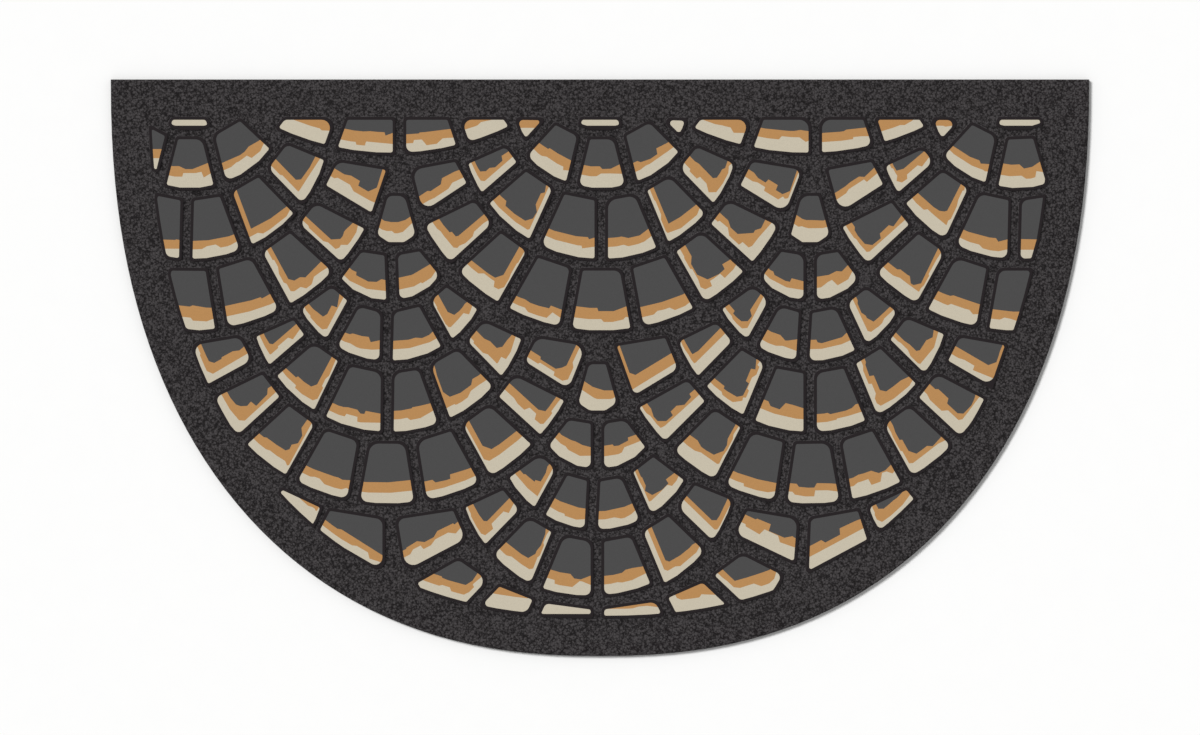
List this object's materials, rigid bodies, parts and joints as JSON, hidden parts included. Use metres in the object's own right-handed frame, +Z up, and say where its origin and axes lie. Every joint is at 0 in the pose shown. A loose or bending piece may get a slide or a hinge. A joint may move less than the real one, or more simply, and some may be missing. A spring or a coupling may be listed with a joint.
{
  "type": "half-round doormat",
  "caption": "Half-round moulded rubber doormat with a straight back edge, a plain flocked border and raised fan-cobble stones.",
  "frame": {"origin": "middle of the bounding box of the flat underside, on the floor", "axes": "+X along the straight edge, +Y towards the straight edge, which lies against the door sill, +Z up out of the flocked face"},
  "size_m": [0.762, 0.449, 0.008],
  "materials": {
    "rubber": "matt black-brown rubber, flocked on top, with printed stones"
  },
  "bodies": {
    "root": {"mat": "rubber"}
  },
  "joints": []
}
